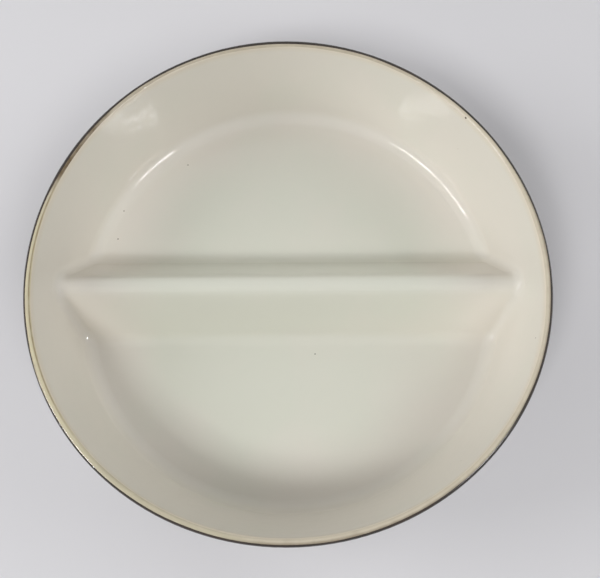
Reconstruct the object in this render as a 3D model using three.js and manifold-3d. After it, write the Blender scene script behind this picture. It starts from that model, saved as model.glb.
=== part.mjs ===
// Divided oven bowl: a round moulded stoneware baking bowl with a cored cross wall and fired glaze coats.
// Millimetres, +Z up. The origin is the centre of the foot ring's resting face, and the divider runs along X.
import * as THREE from 'three';
import { mergeVertices } from 'three/addons/utils/BufferGeometryUtils.js';
import Module from 'manifold-3d';

const wasm = await Module();
wasm.setup();

// Driving dimensions
const HEIGHT = 70;
const RIM_RADIUS = 140;
const RIM_WIDTH = 4.4;
const INSIDE_DEPTH = 58;
const FLOOR_RADIUS = 123;
const FLOOR_CORNER_ROUND = 7;
const OUTER_FOOT_RADIUS = 127.5;
const HEEL_ROUND = 14;
const RECESS_HEIGHT = 5;

const DIVIDER_DROP = 25.5;
const DIVIDER_BASE_WIDTH = 49;
const DIVIDER_CREST_WIDTH = 8;
const DIVIDER_CREST_ROUND = 3;
const DIVIDER_SEAM_ROUND = 5;
const DIVIDER_WALL = 6.5;
const CORE_HALF_LENGTH = 100;
const CORE_END_LEAN = 8;
const CORE_PEAK_ROUND = 3.5;
const CORE_END_ROUND = 14;

const FOOT_OUTER_RADIUS = 115;
const FOOT_INNER_RADIUS = 106.5;
const FOOT_TAPER = 1;
const FOOT_EDGE_ROUND = 1.2;

const GLAZE = 0.5;
const SEAT = 0.3;
const LIP_EDGE_RADIUS = 136.1;
const BAND_EDGE_RADIUS = 138.2;

// How finely round forms are faceted
const AROUND = 64;
const ARC_STEPS = 5;
const SMALL_ARC_STEPS = 2;
const SMALL_ROUND = 3;
const ROLL_STEPS = 3;
const BAND_STEPS = 2;

// How exactly points are found and merged, and how far cutting solids reach past what they cut
const HALVINGS = 44;
const WELD = 1e-4;
const CUT_MARGIN = 10;

// Sizes worked out from the driving dimensions
const FLOOR_Z = HEIGHT - INSIDE_DEPTH;
const ROLL_RADIUS = RIM_WIDTH / 2;
const ROLL_CENTRE_RADIUS = RIM_RADIUS - ROLL_RADIUS;
const ROLL_CENTRE_Z = HEIGHT - ROLL_RADIUS;
const CREST_Z = HEIGHT - DIVIDER_DROP;
const CLAY = GLAZE + SEAT;
const WALL_LEAN = Math.atan2(RIM_RADIUS - RIM_WIDTH - FLOOR_RADIUS, ROLL_CENTRE_Z - FLOOR_Z);
const FACE_LEAN = Math.atan2((DIVIDER_BASE_WIDTH - DIVIDER_CREST_WIDTH) / 2, CREST_Z - FLOOR_Z);

// Above this height the inner wall is round all the way, clear of the divider's seams.
const SHOULDER_CLEARANCE = 1;
const SHOULDER_Z = CREST_Z + DIVIDER_SEAM_ROUND + SHOULDER_CLEARANCE;

// Inside these bounds the floor is flat, clear of its rounded corner at the wall and at the divider.
const CORNER_CLEARANCE = 3.5;
const FLAT_RADIUS = FLOOR_RADIUS - FLOOR_CORNER_ROUND - CORNER_CLEARANCE;
const FLAT_FROM_CREST = DIVIDER_BASE_WIDTH / 2 + FLOOR_CORNER_ROUND;

// Heights up a compartment's side where its surface has a ring of points, as shares of the side's height:
// six up the concave foot, one on the leaning face and three over the rounded top.
const FOOT_LEVELS = [0.0005, 0.011, 0.033, 0.067, 0.11, 0.19];
const SIDE_LEVELS = [...FOOT_LEVELS, 0.6, 0.955, 0.988, 1];

// Places along the crest with points: out along its flat, then up the saddle where it meets the wall.
const CREST_STATIONS = [30, 90];
const SADDLE_LEVELS = [0.004, 0.06, 0.18, 0.36, 0.6, 0.83];

/** The place between two values where a rising function passes zero. */
function crossing(rising, low, high) {
  let below = low;
  let above = high;
  for (let i = 0; i < HALVINGS; i += 1) {
    const middle = (below + above) / 2;
    if (rising(middle) < 0) {
      below = middle;
    } else {
      above = middle;
    }
  }
  return (below + above) / 2;
}

/** Distance to two surfaces that meet in a hollow, whose corner is filled with a fillet. */
function filleted(a, b, round) {
  const inCorner = Math.hypot(Math.max(round - a, 0), Math.max(round - b, 0));
  return Math.max(round, Math.min(a, b)) - inCorner;
}

/** Distance to two surfaces that meet in a ridge, whose edge is rounded off. */
function eased(a, b, round) {
  const overEdge = Math.hypot(Math.max(a + round, 0), Math.max(b + round, 0));
  return Math.min(Math.max(a, b) + round, 0) + overEdge - round;
}

/** Free distance from a point inside the bowl to its round inner surface, without the divider. */
function roundClearance(r, z) {
  const floor = z - FLOOR_Z;
  const wall = (FLOOR_RADIUS - r) * Math.cos(WALL_LEAN) + floor * Math.sin(WALL_LEAN);
  return filleted(floor, wall, FLOOR_CORNER_ROUND);
}

/** Free distance from a point to the divider's leaning faces and rounded crest. */
function dividerClearance(y, z) {
  const out = (Math.abs(y) - DIVIDER_BASE_WIDTH / 2) * Math.cos(FACE_LEAN);
  const face = out + (z - FLOOR_Z) * Math.sin(FACE_LEAN);
  return eased(face, z - CREST_Z, DIVIDER_CREST_ROUND);
}

/** Free distance to the whole inner surface, with the divider's seams faired into floor and wall. */
function clearance(x, y, z) {
  return filleted(roundClearance(Math.hypot(x, y), z), dividerClearance(y, z), DIVIDER_SEAM_ROUND);
}

/** Radius of the round inner surface at a height, `inset` under the finished one. */
function innerRadius(z, inset) {
  return crossing((r) => -roundClearance(r, z) - inset, 0, RIM_RADIUS);
}

/** Angle on the rim's rolled edge, from the outside, whose finished surface has the given radius. */
function rollAngle(radius) {
  return Math.acos((radius - ROLL_CENTRE_RADIUS) / ROLL_RADIUS);
}

/** Points along the rim's roll between two angles, `inset` under the finished surface. */
function rollPoints(from, to, inset, steps) {
  const radius = ROLL_RADIUS - inset;
  const points = [];
  for (let i = 0; i <= steps; i += 1) {
    const angle = from + ((to - from) * i) / steps;
    const r = ROLL_CENTRE_RADIUS + radius * Math.cos(angle);
    points.push(new THREE.Vector2(r, ROLL_CENTRE_Z + radius * Math.sin(angle)));
  }
  return points;
}

/** An outline through corners [u, v, round], each rounded by an arc that touches both of its sides. */
function roundedOutline(corners, closed) {
  const points = [];
  corners.forEach(([u, v, round = 0], i) => {
    const here = new THREE.Vector2(u, v);
    const isEnd = !closed && (i === 0 || i === corners.length - 1);
    if (round === 0 || isEnd) {
      points.push(here);
      return;
    }
    const [pu, pv] = corners[(i + corners.length - 1) % corners.length];
    const [nu, nv] = corners[(i + 1) % corners.length];
    const back = new THREE.Vector2(pu - u, pv - v).normalize();
    const on = new THREE.Vector2(nu - u, nv - v).normalize();
    const half = Math.acos(back.dot(on)) / 2;
    const centre = back.clone().add(on).setLength(round / Math.sin(half)).add(here);
    const start = here.clone().addScaledVector(back, round / Math.tan(half)).sub(centre);
    const sweep = (Math.PI - 2 * half) * Math.sign(on.cross(back));
    const steps = round < SMALL_ROUND ? SMALL_ARC_STEPS : ARC_STEPS;
    for (let k = 0; k <= steps; k += 1) {
      const turn = (sweep * k) / steps;
      points.push(start.clone().rotateAround(new THREE.Vector2(), turn).add(centre));
    }
  });
  return points;
}

/** A geometry with its shared points merged and its collapsed triangles dropped, facing out. */
function welded(geometry) {
  const bare = geometry.clone();
  bare.deleteAttribute('normal');
  bare.deleteAttribute('uv');
  const merged = mergeVertices(bare, WELD);
  const place = merged.getAttribute('position');
  const index = merged.getIndex().array;
  const faces = [];
  let volume = 0;
  const [a, b, c] = [new THREE.Vector3(), new THREE.Vector3(), new THREE.Vector3()];
  for (let i = 0; i < index.length; i += 3) {
    const [p, q, r] = [index[i], index[i + 1], index[i + 2]];
    if (p !== q && q !== r && r !== p) {
      faces.push([p, q, r]);
      a.fromBufferAttribute(place, p);
      b.fromBufferAttribute(place, q);
      c.fromBufferAttribute(place, r);
      volume += a.dot(b.cross(c));
    }
  }
  merged.setIndex(faces.flatMap(([p, q, r]) => (volume < 0 ? [p, r, q] : [p, q, r])));
  return merged;
}

/** A closed geometry as a solid that can be cut and joined. */
function toSolid(geometry) {
  const closed = welded(geometry);
  const vertProperties = new Float32Array(closed.getAttribute('position').array);
  const triVerts = new Uint32Array(closed.getIndex().array);
  return new wasm.Manifold(new wasm.Mesh({ numProp: 3, vertProperties, triVerts }));
}

/** A solid's faces as a geometry. */
function toGeometry(solid) {
  const mesh = solid.getMesh();
  const geometry = new THREE.BufferGeometry();
  geometry.setAttribute('position', new THREE.BufferAttribute(new Float32Array(mesh.vertProperties), 3));
  geometry.setIndex(Array.from(mesh.triVerts));
  return geometry;
}

/** A profile of (radius, height) points turned about the bowl's upright axis. */
function turned(profile) {
  return welded(new THREE.LatheGeometry(profile, AROUND).rotateX(Math.PI / 2));
}

/** An outline of (y, z) points drawn out along X, centred. */
function alongX(outline, length) {
  const bar = new THREE.ExtrudeGeometry(new THREE.Shape(outline), { depth: length, bevelEnabled: false });
  bar.translate(0, 0, -length / 2);
  return bar.applyMatrix4(new THREE.Matrix4().set(0, 0, 1, 0, 1, 0, 0, 0, 0, 1, 0, 0, 0, 0, 0, 1));
}

/** An outline of (x, z) points drawn out along Y, centred. */
function alongY(outline, length) {
  const bar = new THREE.ExtrudeGeometry(new THREE.Shape(outline), { depth: length, bevelEnabled: false });
  return bar.translate(0, 0, -length / 2).rotateX(Math.PI / 2);
}

/** Triangles between two rows of points, and round from the last to the first. */
function band(soup, row, next) {
  row.forEach((a, i) => {
    const b = row[(i + 1) % row.length];
    const c = next[(i + 1) % next.length];
    const d = next[i];
    soup.push(a, b, c, a, c, d);
  });
}

/** Triangles from rows of points as a closed geometry. */
function fromSoup(soup) {
  return welded(new THREE.BufferGeometry().setFromPoints(soup));
}

/** Where the front compartment's sides end: round the wall at the shoulder, and back along the crest. */
function compartmentEdge(inset) {
  const radius = innerRadius(SHOULDER_Z, inset);
  const ends = [];
  for (let i = 0; i <= AROUND / 2; i += 1) {
    const angle = (-2 * Math.PI * i) / AROUND;
    ends.push(new THREE.Vector3(radius * Math.cos(angle), radius * Math.sin(angle), SHOULDER_Z));
  }
  const crest = CREST_Z - inset;
  const saddle = SADDLE_LEVELS.map((level) => {
    const z = crest + (SHOULDER_Z - crest) * level;
    return new THREE.Vector3(crossing((x) => -clearance(x, 0, z) - inset, 0, RIM_RADIUS), 0, z);
  });
  const flat = CREST_STATIONS.map((x) => new THREE.Vector3(x, 0, crest));
  const outward = [...flat, ...saddle];
  const mirrored = outward.map((p) => new THREE.Vector3(-p.x, 0, p.z)).reverse();
  return [...ends, ...mirrored, ...outward];
}

/** The point on the flat floor from which the side below an edge point is climbed. */
function floorPoint(end) {
  const cornerX = Math.sqrt(FLAT_RADIUS ** 2 - FLAT_FROM_CREST ** 2);
  const onWall = new THREE.Vector2(end.x, end.y).setLength(FLAT_RADIUS);
  if (end.y < 0 && onWall.y < -FLAT_FROM_CREST) {
    return onWall;
  }
  return new THREE.Vector2(THREE.MathUtils.clamp(end.x, -cornerX, cornerX), -FLAT_FROM_CREST);
}

/** Rows of points up the front compartment's surface, from its floor to the shoulder and the crest. */
function compartmentRows(inset) {
  const ends = compartmentEdge(inset);
  const floor = FLOOR_Z - inset;
  const middle = new THREE.Vector3(0, -FLOOR_RADIUS / 2, floor);
  const feet = ends.map(floorPoint);
  const rows = [ends.map(() => middle), feet.map((p) => new THREE.Vector3(p.x, p.y, floor))];
  SIDE_LEVELS.forEach((level) => {
    rows.push(ends.map((end, i) => {
      if (level === 1) {
        return end;
      }
      const height = floor + (end.z - floor) * level;
      const at = (share) => feet[i].clone().lerp(new THREE.Vector2(end.x, end.y), share);
      const share = crossing((s) => -clearance(at(s).x, at(s).y, height) - inset, 0, 1);
      return new THREE.Vector3(at(share).x, at(share).y, height);
    }));
  });
  return rows;
}

/** Both compartments' surface as triangles, `inset` under the finished one, up to the shoulder. */
function innerSheet(inset) {
  const front = compartmentRows(inset);
  const rear = front.map((row) => row.map((p) => new THREE.Vector3(p.x, -p.y, p.z)).reverse());
  const soup = [];
  for (let i = 1; i < front.length; i += 1) {
    band(soup, front[i - 1], front[i]);
    band(soup, rear[i - 1], rear[i]);
  }
  return soup;
}

/** A level ring of points at the radius and height of a profile point, at the facets' corners. */
function ring({ x: r, y: z }) {
  const points = [];
  for (let i = 0; i < AROUND; i += 1) {
    const angle = (2 * Math.PI * i) / AROUND;
    points.push(new THREE.Vector3(r * Math.cos(angle), r * Math.sin(angle), z));
  }
  return points;
}

/** Round inner profile from the axis to the top of the wall, `inset` under the finished surface. */
function innerProfile(inset) {
  const floor = FLOOR_Z - inset;
  const heights = FOOT_LEVELS.map((level) => floor + (SHOULDER_Z - floor) * level);
  const side = [...heights, ROLL_CENTRE_Z].map((z) => new THREE.Vector2(innerRadius(z, inset), z));
  return [new THREE.Vector2(0, floor), ...side];
}

/** Outer profile from the roll down the wall and round the heel to the shelf beside the foot. */
function outerProfile(inset) {
  const lean = Math.atan2(RIM_RADIUS - OUTER_FOOT_RADIUS, ROLL_CENTRE_Z - RECESS_HEIGHT);
  const sideways = inset / Math.cos(lean);
  const shelf = RECESS_HEIGHT + inset;
  const footRadius = OUTER_FOOT_RADIUS + inset * Math.tan(lean) - sideways;
  const corners = [
    [ROLL_CENTRE_RADIUS + ROLL_RADIUS - inset, ROLL_CENTRE_Z],
    [footRadius, shelf, HEEL_ROUND - inset],
    [FOOT_OUTER_RADIUS, shelf],
  ];
  return roundedOutline(corners, false).slice(0, -1);
}

/** The hollow that cores out the divider from below, enlarged all round by `grow`. */
function coreSolid(grow) {
  const reach = DIVIDER_WALL / Math.cos(FACE_LEAN);
  const slope = Math.tan(FACE_LEAN);
  const halfAtFloor = DIVIDER_BASE_WIDTH / 2 - reach + grow / Math.cos(FACE_LEAN);
  const below = -CUT_MARGIN;
  const peak = FLOOR_Z + halfAtFloor / slope;
  const above = peak + CUT_MARGIN;
  const mouth = halfAtFloor + (FLOOR_Z - below) * slope;
  const section = roundedOutline([[-mouth, below], [mouth, below], [0, peak, CORE_PEAK_ROUND + grow]], true);
  const endSlope = CORE_END_LEAN / (peak - RECESS_HEIGHT);
  const endBelow = CORE_HALF_LENGTH + grow + (RECESS_HEIGHT - below) * endSlope;
  const endAbove = endBelow - (above - below) * endSlope;
  const sideCorners = [[-endBelow, below], [endBelow, below], [endAbove, above], [-endAbove, above]];
  const wide = DIVIDER_BASE_WIDTH / 2 + grow;
  const round = CORE_END_ROUND + grow;
  const plan = roundedOutline([
    [-endBelow, -wide, round],
    [endBelow, -wide, round],
    [endBelow, wide, round],
    [-endBelow, wide, round],
  ], true);
  const upright = new THREE.ExtrudeGeometry(new THREE.Shape(plan), { depth: HEIGHT, bevelEnabled: false });
  upright.translate(0, 0, below);
  const across = toSolid(alongX(section, 2 * RIM_RADIUS));
  const lengthwise = toSolid(alongY(roundedOutline(sideCorners, true), 2 * RIM_RADIUS));
  return across.intersect(lengthwise).intersect(toSolid(upright));
}

/** The flared wall, rolled rim and floor in clay, open under the divider. */
function bowlShell() {
  const roll = rollPoints(Math.PI, 0, CLAY, 2 * ROLL_STEPS);
  const profile = [
    ...innerProfile(CLAY),
    ...roll.slice(1, -1),
    ...outerProfile(CLAY),
    new THREE.Vector2(0, RECESS_HEIGHT + CLAY),
  ];
  return toGeometry(toSolid(turned(profile)).subtract(coreSolid(CLAY)));
}

/** The cross wall in clay: leaning faces, rounded crest, faired seams, and a core open below. */
function dividerWall() {
  const soup = innerSheet(CLAY);
  const brim = new THREE.Vector2(innerRadius(SHOULDER_Z, CLAY), SHOULDER_Z);
  const skirt = ring(new THREE.Vector2(brim.x, 0));
  band(soup, skirt, ring(brim));
  band(soup, ring(new THREE.Vector2(0, 0)), skirt);
  const underGlaze = toSolid(fromSoup(soup));
  const roundSpace = toSolid(turned([...innerProfile(GLAZE), new THREE.Vector2(0, ROLL_CENTRE_Z)]));
  return toGeometry(underGlaze.intersect(roundSpace).subtract(coreSolid(CLAY)));
}

/** The bare clay ring that the bowl stands on, its resting face flat. */
function footRing() {
  const top = RECESS_HEIGHT + CLAY;
  const corners = [
    [FOOT_INNER_RADIUS, top],
    [FOOT_OUTER_RADIUS, top],
    [FOOT_OUTER_RADIUS - FOOT_TAPER, 0, FOOT_EDGE_ROUND],
    [FOOT_INNER_RADIUS + FOOT_TAPER, 0, FOOT_EDGE_ROUND],
  ];
  const outline = roundedOutline(corners, true);
  return turned([...outline, outline[0]]);
}

/** The cream glaze over both compartments and the divider, ending on the rim's inner lip. */
function linerGlaze() {
  const lipEnd = rollAngle(LIP_EDGE_RADIUS) + SEAT / ROLL_RADIUS / 2;
  const face = rollPoints(Math.PI, lipEnd, 0, ROLL_STEPS);
  const back = rollPoints(Math.PI, lipEnd, GLAZE, ROLL_STEPS);
  face.unshift(new THREE.Vector2(innerRadius(SHOULDER_Z, 0), SHOULDER_Z));
  back.unshift(new THREE.Vector2(innerRadius(SHOULDER_Z, GLAZE), SHOULDER_Z));
  const soup = innerSheet(0);
  const lip = [...face, ...back.reverse()].map(ring);
  for (let i = 1; i < lip.length; i += 1) {
    band(soup, lip[i], lip[i - 1]);
  }
  const under = innerSheet(GLAZE);
  for (let i = 0; i < under.length; i += 3) {
    soup.push(under[i], under[i + 2], under[i + 1]);
  }
  return fromSoup(soup);
}

/** The thin tan glaze over the top of the rim's roll. */
function rimBand() {
  const inner = rollAngle(LIP_EDGE_RADIUS) - SEAT / ROLL_RADIUS / 2;
  const outer = rollAngle(BAND_EDGE_RADIUS) + SEAT / ROLL_RADIUS / 2;
  const face = [
    ...rollPoints(inner, Math.PI / 2, 0, BAND_STEPS),
    ...rollPoints(Math.PI / 2, outer, 0, BAND_STEPS).slice(1),
  ];
  const back = rollPoints(outer, inner, GLAZE, 2 * BAND_STEPS);
  return turned([...face, ...back, face[0]]);
}

/** The dark glaze down the outside of the wall and round the heel to the foot. */
function outerGlaze() {
  const edge = rollAngle(BAND_EDGE_RADIUS) - SEAT / ROLL_RADIUS / 2;
  const face = [...rollPoints(edge, 0, 0, ROLL_STEPS).slice(0, -1), ...outerProfile(0)];
  const back = [...rollPoints(edge, 0, GLAZE, ROLL_STEPS).slice(0, -1), ...outerProfile(GLAZE)];
  return turned([...face, ...back.reverse(), face[0]]);
}

/** The island of dark glaze inside the foot ring, over the base and up into the divider's core. */
function baseGlaze() {
  const radius = FOOT_INNER_RADIUS - SEAT;
  const disc = turned([
    new THREE.Vector2(0, RECESS_HEIGHT),
    new THREE.Vector2(radius, RECESS_HEIGHT),
    new THREE.Vector2(radius, RECESS_HEIGHT + GLAZE),
    new THREE.Vector2(0, RECESS_HEIGHT + GLAZE),
  ]);
  const overBase = turned([
    new THREE.Vector2(0, RECESS_HEIGHT),
    new THREE.Vector2(radius, RECESS_HEIGHT),
    new THREE.Vector2(radius, HEIGHT),
    new THREE.Vector2(0, HEIGHT),
  ]);
  const lining = coreSolid(GLAZE).intersect(toSolid(overBase));
  return toGeometry(toSolid(disc).add(lining).subtract(coreSolid(0)));
}

const clay = { color: 0xb49a78, roughness: 0.9, metalness: 0 };
const cream = { color: 0xd2cdbd, roughness: 0.2, metalness: 0 };
const tan = { color: 0xc9b48c, roughness: 0.35, metalness: 0 };
const darkBrown = { color: 0x35291f, roughness: 0.25, metalness: 0 };

const bowl = new THREE.Group();

/** Adds a piece to the bowl as its own named mesh with its own finish. */
function addPiece(name, geometry, finish) {
  const piece = new THREE.Mesh(geometry, new THREE.MeshStandardMaterial(finish));
  piece.name = name;
  bowl.add(piece);
}

addPiece('bowl_shell', bowlShell(), clay);
addPiece('divider_wall', dividerWall(), clay);
addPiece('foot_ring', footRing(), clay);
addPiece('liner_glaze', linerGlaze(), cream);
addPiece('rim_band', rimBand(), tan);
addPiece('outer_glaze', outerGlaze(), darkBrown);
addPiece('base_glaze', baseGlaze(), darkBrown);

export default bowl;
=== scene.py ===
"""A divided oven bowl in glazed stoneware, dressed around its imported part.

The bowl is one moulded clay body under fired coats of glaze. Each member is built here as a fine closed
mesh that stands for the plainer solid of the same member. Sizes are in metres in the part's own frame: the
origin is the middle of the resting face, +Z is up, and the divider runs along X with the camera towards -Y.
"""
import logging
import math
from dataclasses import dataclass
from enum import Enum
from typing import Any, Callable

import bmesh
import bpy
import numpy as np
from bpy.types import Material, Node, NodeSocket, NodeTree, Object
from mathutils import Euler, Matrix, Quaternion, Vector
from numpy.typing import NDArray


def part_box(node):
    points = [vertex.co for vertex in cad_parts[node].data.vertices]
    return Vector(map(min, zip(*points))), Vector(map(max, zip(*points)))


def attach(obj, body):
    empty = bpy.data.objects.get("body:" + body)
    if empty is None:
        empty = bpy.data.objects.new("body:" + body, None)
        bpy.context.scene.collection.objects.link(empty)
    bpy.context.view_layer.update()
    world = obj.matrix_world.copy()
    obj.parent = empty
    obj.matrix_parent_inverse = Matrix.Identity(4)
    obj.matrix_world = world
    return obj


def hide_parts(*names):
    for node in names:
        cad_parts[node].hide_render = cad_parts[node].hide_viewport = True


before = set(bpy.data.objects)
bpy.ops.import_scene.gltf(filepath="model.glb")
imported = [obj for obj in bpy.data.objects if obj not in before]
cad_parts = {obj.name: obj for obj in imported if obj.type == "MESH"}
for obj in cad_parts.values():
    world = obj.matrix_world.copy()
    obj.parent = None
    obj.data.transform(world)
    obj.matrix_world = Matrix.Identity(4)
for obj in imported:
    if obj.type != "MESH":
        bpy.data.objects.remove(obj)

Floats = NDArray[np.float64]

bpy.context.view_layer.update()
BODY = "root"
LOG = logging.getLogger("oven_bowl")

MM = 0.001
# Points that lie closer together than this are one point.
WELD = 0.002 * MM
# Each vertex keeps the place that it had before the kiln warped it, for the finishes to read.
HOME = "home"

# How finely the round forms are stepped: steps in half a turn, how far those crowd towards the divider's
# ends, the widest step of a rounded corner, and how often a range is halved to find a surface
HALF_ROUND = 120
GATHERING = 0.55
ARC_STEP = math.radians(6.0)
BISECTIONS = 42
# So many times the rim's radius from the axis, a point is outside the bowl at any height.
OUTSIDE = 1.1
# The corners of a square, one after the other
SQUARE = ((-1, -1), (1, -1), (1, 1), (-1, 1))


def spaced(start: float, stop: float, steps: int) -> Floats:
    """Evenly spaced values from start to stop, both of them included."""
    return np.linspace(start, stop, steps + 1)


def crossing(rising: Callable[[Floats], Floats], low: Floats, high: Floats) -> Floats:
    """Finds where a rising function passes zero, by halving the range again and again.

    Args:
        rising: A function of an array of values that gives an array of the same shape.
        low: Values at which the function is negative.
        high: Values at which the function is positive.

    Returns:
        The values where the function is zero.
    """
    for _ in range(BISECTIONS):
        middle = (low + high) / 2
        negative = rising(middle) < 0
        low = np.where(negative, middle, low)
        high = np.where(negative, high, middle)
    return (low + high) / 2


def filleted(a: Floats, b: Floats, radius: float) -> Floats:
    """Distance to two surfaces that meet in a hollow, from that to each, with a fillet in the corner."""
    in_corner = np.hypot(np.maximum(radius - a, 0), np.maximum(radius - b, 0))
    return np.maximum(radius, np.minimum(a, b)) - in_corner


def eased(a: Floats, b: Floats, radius: float) -> Floats:
    """Distance to two surfaces that meet in a ridge, from that to each, with the edge rounded off."""
    over_edge = np.hypot(np.maximum(a + radius, 0), np.maximum(b + radius, 0))
    return np.minimum(np.maximum(a, b) + radius, 0) + over_edge - radius


def front_angles() -> Floats:
    """Angles round the front half, from +X to -X, gathered beside the divider's ends."""
    share = spaced(0.0, 1.0, HALF_ROUND)
    return -np.pi * (share - GATHERING * np.sin(2 * np.pi * share) / (2 * np.pi))


def ring_angles() -> Floats:
    """Angles once round the bowl, the rear half mirroring the front one."""
    front = front_angles()
    return np.concatenate([front, -front[::-1][1:-1]])


def placed(name: str, data: bpy.types.ID) -> Object:
    """Puts a mesh, a lamp or the camera into the scene.

    Args:
        name: The new object's name.
        data: What the object shows.

    Returns:
        The object, linked to the scene.
    """
    made = bpy.data.objects.new(name, data)
    bpy.context.scene.collection.objects.link(made)
    return made


@dataclass(frozen=True)
class Wander:
    """A seeded uneven line round the bowl, such as the border of a hand-dipped glaze."""

    # About how far it strays to either side, how many waves each of its parts has in one turn, and the
    # number that their random phases follow from
    size: float
    waves: tuple[int, ...]
    seed: int

    def line(self) -> Floats:
        """Draws the line.

        Returns:
            How far it strays at each place round the bowl.
        """
        phases = np.random.default_rng(self.seed).uniform(0, 2 * np.pi, len(self.waves))
        angles = ring_angles()
        parts = [np.sin(n * angles + phase) / math.sqrt(n) for n, phase in zip(self.waves, phases)]
        return self.size * (np.sum(parts, axis=0) / math.sqrt(sum(1 / n for n in self.waves)))


@dataclass(frozen=True)
class Form:
    """Finished sizes of the bowl and the surfaces that follow from them.

    An inset names a surface that lies so far under the finished one, in the glaze or at the clay.
    """

    height: float
    rim_radius: float
    floor_height: float
    recess_height: float
    foot_outer_radius: float
    rim_width: float = 4.4 * MM
    floor_radius: float = 123.0 * MM
    floor_round: float = 7.0 * MM
    outer_foot_radius: float = 127.5 * MM
    heel_round: float = 14.0 * MM
    foot_width: float = 8.5 * MM
    foot_taper: float = 1.0 * MM
    foot_edge_round: float = 1.2 * MM
    divider_drop: float = 25.5 * MM
    divider_base: float = 49.0 * MM
    crest_width: float = 8.0 * MM
    crest_round: float = 3.0 * MM
    seam_round: float = 5.0 * MM
    glaze: float = 0.5 * MM
    seat: float = 0.3 * MM
    lip_edge: float = 136.1 * MM
    # How far the wall that is round all the way begins above the divider's seams
    shoulder_gap: float = 1.0 * MM

    @classmethod
    def from_frame(cls) -> "Form":
        """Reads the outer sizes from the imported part.

        Returns:
            The bowl's sizes.
        """
        band_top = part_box("rim_band")[1]
        outer_low, outer_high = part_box("outer_glaze")
        liner_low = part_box("liner_glaze")[0]
        foot_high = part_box("foot_ring")[1]
        return cls(
            height=band_top.z,
            rim_radius=outer_high.x,
            floor_height=liner_low.z + cls.glaze,
            recess_height=outer_low.z,
            foot_outer_radius=foot_high.x,
        )

    @property
    def clay(self) -> float:
        """Depth of the clay under the finished surface."""
        return self.glaze + self.seat

    @property
    def crest_height(self) -> float:
        """Height of the divider's top."""
        return self.height - self.divider_drop

    @property
    def shoulder(self) -> float:
        """Height above which the wall is round all the way, clear of the divider's seams."""
        return self.crest_height + self.seam_round + self.shoulder_gap

    @property
    def roll_radius(self) -> float:
        """Radius of the rim's half-round."""
        return self.rim_width / 2

    @property
    def roll_centre(self) -> tuple[float, float]:
        """Radius and height of the middle of the rim's half-round."""
        return self.rim_radius - self.roll_radius, self.height - self.roll_radius

    @property
    def wall_top(self) -> float:
        """Height at which the wall's straight rows end, a little below the middle of the rim's half-round."""
        return self.roll_centre[1] - self.roll_radius / 2

    @property
    def inner_lean(self) -> float:
        """Lean of the wall's inside from upright."""
        radius, height = self.roll_centre
        return math.atan2(radius - self.roll_radius - self.floor_radius, height - self.floor_height)

    @property
    def outer_lean(self) -> float:
        """Lean of the wall's outside from upright."""
        height = self.roll_centre[1] - self.recess_height
        return math.atan2(self.rim_radius - self.outer_foot_radius, height)

    @property
    def face_lean(self) -> float:
        """Lean of the divider's faces from upright."""
        sideways = (self.divider_base - self.crest_width) / 2
        return math.atan2(sideways, self.crest_height - self.floor_height)

    def round_clearance(self, radius: Floats, height: Floats) -> Floats:
        """Measures the free distance to the round inner surface, without the divider.

        Args:
            radius: Distances from the bowl's axis.
            height: Heights above the resting face.

        Returns:
            Free distances, negative inside the wall.
        """
        floor = height - self.floor_height
        sideways = (self.floor_radius - radius) * math.cos(self.inner_lean)
        return filleted(floor, sideways + floor * math.sin(self.inner_lean), self.floor_round)

    def divider_clearance(self, y: Floats, height: Floats) -> Floats:
        """Measures the free distance to the divider's leaning faces and rounded crest.

        Args:
            y: Distances in front of or behind the divider's middle.
            height: Heights above the resting face.

        Returns:
            Free distances, negative inside the divider.
        """
        sideways = (np.abs(y) - self.divider_base / 2) * math.cos(self.face_lean)
        face = sideways + (height - self.floor_height) * math.sin(self.face_lean)
        return eased(face, height - self.crest_height, self.crest_round)

    def clearance(self, x: Floats, y: Floats, height: Floats) -> Floats:
        """Free distance to the whole inside, negative in the pot, with the divider's seams faired in."""
        wall = self.round_clearance(np.hypot(x, y), height)
        return filleted(wall, self.divider_clearance(y, height), self.seam_round)

    def inner_radius(self, height: Floats, inset: float) -> Floats:
        """Finds the radius of the round inner surface at some heights.

        Args:
            height: Heights above the resting face.
            inset: Depth under the finished surface.

        Returns:
            One radius for each height.
        """
        height = np.asarray(height, float)
        low = np.zeros_like(height)
        high = np.full_like(height, OUTSIDE * self.rim_radius)
        return crossing(lambda r: -self.round_clearance(r, height) - inset, low, high)

    def outer_profile(self, inset: float, wall_steps: int, shelf_end: float) -> Floats:
        """Draws the outside, from under the roll down the wall, round the heel and along the shelf.

        Args:
            inset: Depth under the finished surface.
            wall_steps: How many steps the straight wall has.
            shelf_end: Radius at which the shelf ends.

        Returns:
            Radii and heights as (step, 2).
        """
        sideways = inset / math.cos(self.outer_lean)
        shelf = self.recess_height + inset
        foot = self.outer_foot_radius + inset * math.tan(self.outer_lean) - sideways
        top = foot + (self.wall_top - shelf) * math.tan(self.outer_lean)
        corners = [(top, self.wall_top, 0), (foot, shelf, self.heel_round - inset), (shelf_end, shelf, 0)]
        corner = rounded_outline(corners)
        share = spaced(0.0, 1.0, wall_steps)[:-1, None]
        return np.concatenate([corner[0] * (1 - share) + corner[1] * share, corner[1:]])

    def roll_angle(self, radius: Floats) -> Floats:
        """Angle on the rim's roll, from its outside, whose finished surface has a radius."""
        return np.arccos((radius - self.roll_centre[0]) / self.roll_radius)

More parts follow.
